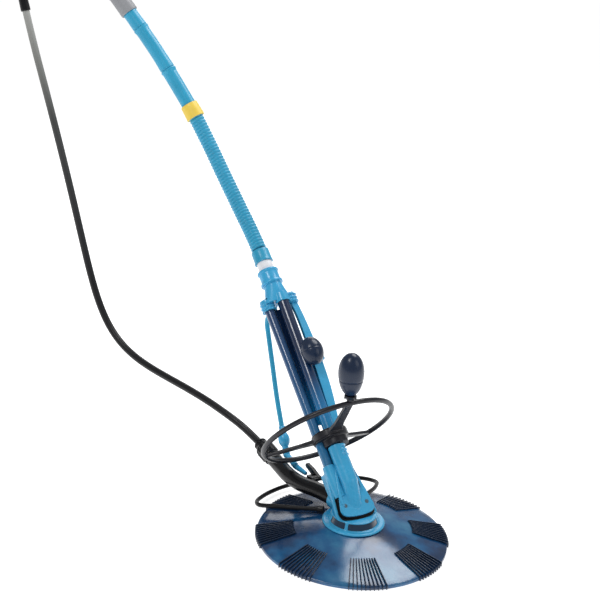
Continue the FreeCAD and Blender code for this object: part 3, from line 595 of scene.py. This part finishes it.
def make_swivel():
    """Beaded swivel body, the cuff above it and the plain band, rounded as moulded."""
    profile = [(15, 545.1), (20.3, 545.1), (20.6, 546.4), (21.2, 547.1), (24.4, 547.3),
               (25.3, 548.6), (25.3, 551.2), (24.6, 552.9), (23, 553.9), (22.1, 554.6), (21.9, 557),
               (21.8, 572), (22, 574.2), (22.6, 575.3), (23.8, 575.8), (24.2, 577.2), (24.1, 579.4),
               (23.4, 580.6), (22.4, 580.95), (17.1, 580.95),
               (17.1, 577.1), (19.9, 577), (19.9, 555.1), (15, 555), (15, 545.1)]
    turned_shell("swivel_shell", profile, "swivel_housing", 0.0004)
    profile = [(16.95, 603.05), (20.9, 603.05), (21.3, 603.6), (21.3, 605.2), (20.7, 606.6), (20.3, 610),
               (20.1, 626), (20, 631.5), (19.5, 632.8), (17.6, 632.95), (17.6, 627.2), (16.95, 627.2),
               (16.95, 603.05)]
    turned_shell("hose_cuff_shell", profile, "hose_cuff", 0.0004)
    profile = [(16.94, 581.7), (17.45, 581.7), (17.6, 582.1), (17.6, 601.9), (17.45, 602.35),
               (16.94, 602.35), (16.94, 581.7)]
    turned_shell("plain_band_shell", profile, "plain_band", 0.0002)


VALVE_FOOT = Vector((-289.5, -13.5, 117.5)) / 1000
VALVE_PROFILE = [(5.65, -12), (6.6, -12), (7.2, -11.2), (7.4, -1.5), (7.0, 0), (8.2, 4), (10.4, 8),
                 (12.2, 12.5), (12.95, 17), (12.7, 22), (11.6, 26.5), (9.8, 30), (7.9, 32.4),
                 (7.2, 34), (7.2, 40)]


def make_check_valve():
    """Egg-shaped bulb with a short sleeve on each side."""
    direction = Vector(JOINTS["valve_travel"]["axis"]).normalized()
    mesh = lathe("check_valve_bulb", VALVE_PROFILE, VALVE_FOOT, direction)
    piece_from(mesh, "check_valve_bulb", "check_valve")


# ---- foot trim ----

def ribbon(name, points, widths, height, up):
    """Rounded bar laid along points, its top raised by height, tapering with widths."""
    build = bmesh.new()
    rings = []
    for k, point in enumerate(points):
        tangent = (points[min(k + 1, len(points) - 1)] - points[max(k - 1, 0)]).normalized()
        side = tangent.cross(up).normalized()
        half = widths[k] / 2
        ends = min(1.0, min(k, len(points) - 1 - k) / 2 + 0.1)
        section = [(-half, -0.001)] + [(-half * math.cos(a), height * ends * math.sin(a) ** 0.7)
                                       for a in (math.pi * s / 8 for s in range(1, 8))] + [(half, -0.001)]
        rings.append([build.verts.new(point + side * x + up * z) for x, z in section])
    skin(build, rings)
    return finished_mesh(build, name)


RIDGE_H = 0.0030
# width and height of the thin dark strip that paints the crease's shade
CREASE_SHADE_W, CREASE_SHADE_H = 0.0011, 0.0005
BARREL_R, BARREL_FRONT = 18.5, 8      # the cover's barrel and its middle's place, in millimetres


def make_cover_trim():
    """Raised ridge down the cover's left edge and a dark line down the barrel's right side, painted shade of a
    crease.
    """
    left = [(4, -17.5, 108), (4, -18.5, 100), (4, -21, 88), (4, -24, 74), (4, -27, 60), (4, -29.6, 46),
            (4, -31.5, 34), (4, -31.5, 25), (4, -29, 17)]
    widths = [0.0060, 0.0066, 0.0070, 0.0074, 0.0078, 0.0080, 0.0078, 0.0066, 0.0040]
    ridge = ribbon("cover_ridge", [at(*p) for p in left], widths, RIDGE_H, FRONT)
    trim_from(ridge, "cover_ridge", "front_cover", SLOTS["front_cover"])
    angle = math.radians(52)
    points = [at(BARREL_FRONT + BARREL_R * math.cos(angle), BARREL_R * math.sin(angle), level)
              for level in (120, 112, 104, 96, 88, 80, 72)]
    for k in (1, 2, 3):                # the dark line's foot drifts outwards and down onto the plate
        turn = angle + k * 0.06
        points.append(at(BARREL_FRONT + 18.2 * math.cos(turn) - k * 1.4,
                         18.4 * math.sin(turn) + k * 0.8, 72 - k * 8))
    outward = (FRONT * math.cos(angle) + SIDE * math.sin(angle)).normalized()
    # thin raised strip in dark window plastic: painted shade along the crease
    seam = ribbon("cover_crease_shade", points, [CREASE_SHADE_W] * len(points), CREASE_SHADE_H, outward)
    trim_from(seam, "cover_crease_shade", "front_cover", "window_plastic")


# ---- camera, lights and floor ----

def make_camera():
    azimuth, elevation, roll, distance = math.radians(58.2), math.radians(22.1), math.radians(4.6), 3.2
    right = Vector((math.cos(azimuth), math.sin(azimuth), 0))
    back = Vector((math.sin(azimuth) * math.cos(elevation), -math.cos(azimuth) * math.cos(elevation),
                   math.sin(elevation)))
    up = back.cross(right)
    target = right * -0.149 + UP * 0.532
    turned_right = right * math.cos(roll) + up * math.sin(roll)
    turned_up = up * math.cos(roll) - right * math.sin(roll)
    camera = bpy.data.objects.new("camera", bpy.data.cameras.new("camera"))
    bpy.context.scene.collection.objects.link(camera)
    camera.data.sensor_width = 36
    camera.data.lens = 96.6
    camera.data.clip_start, camera.data.clip_end = 0.05, 50
    turn = Matrix((turned_right, turned_up, back)).transposed()
    camera.matrix_world = Matrix.Translation(target + back * distance) @ turn.to_4x4()
    bpy.context.scene.camera = camera
    return right, back, target


def make_light(name, place, aim, size, power, colour=(1, 1, 1)):
    data = bpy.data.lights.new(name, "AREA")
    data.shape = "DISK"
    data.size = size
    data.energy = power
    data.color = colour
    light = bpy.data.objects.new(name, data)
    bpy.context.scene.collection.objects.link(light)
    light.location = place
    light.visible_camera = False
    light.rotation_mode = "QUATERNION"
    light.rotation_quaternion = (aim - place).to_track_quat("-Z", "Y")


WORLD_STRENGTH = 0.34
FLOOR_GLOW = 0.7               # keeps the open floor white, so that only contact shadows show
FLOOR_HALF = 80.0


def make_studio(right, back, target):
    away = Vector((back.x, back.y, 0)).normalized()
    make_light("key", target - right * 1.3 + UP * 1.9 + back * 1.2, target, 1.0, 27)
    make_light("fill", target + right * 2.0 + UP * 0.9 + back * 0.9, target, 1.4, 6)
    make_light("top", target + right * 0.7 + UP * 2.1 - back * 1.2, target, 1.3, 24)
    make_light("horizon", target - away * 3.0 + UP * 0.9, target, 1.6, 12)
    world = bpy.data.worlds.new("studio")
    bpy.context.scene.world = world
    world.use_nodes = True
    world.node_tree.nodes["Background"].inputs["Color"].default_value = (1, 1, 1, 1)
    world.node_tree.nodes["Background"].inputs["Strength"].default_value = WORLD_STRENGTH
    bpy.context.scene.view_settings.view_transform = "Standard"


def make_floor():
    mesh = bpy.data.meshes.new("floor")
    corners = [(x * FLOOR_HALF, y * FLOOR_HALF, 0) for x, y in ((-1, -1), (1, -1), (1, 1), (-1, 1))]
    mesh.from_pydata(corners, [], [(0, 1, 2, 3)])
    nodes = Nodes("floor")
    nodes.link(nodes.ramp(nodes.noise(6), [(0.3, (0.90, 0.90, 0.90)), (0.7, (0.92, 0.92, 0.92))]),
               nodes.shader.inputs["Base Color"])
    nodes.set(Roughness=0.9, Emission_Color=(1, 1, 1, 1), Emission_Strength=FLOOR_GLOW,
              Specular_IOR_Level=0.1)
    mesh.materials.append(nodes.material)
    floor = bpy.data.objects.new("floor", mesh)
    bpy.context.scene.collection.objects.link(floor)


make_studio(*make_camera())
make_floor()
PIECES = {node: moulded(node, voxel, passes) for node, voxel, passes in MOULDED}
COLLAR = make_lock_collar()
make_leader_hose()
make_upper_hose()
make_side_hose()
make_disc()
make_floats()
make_swivel()
make_check_valve()
make_cover_trim()
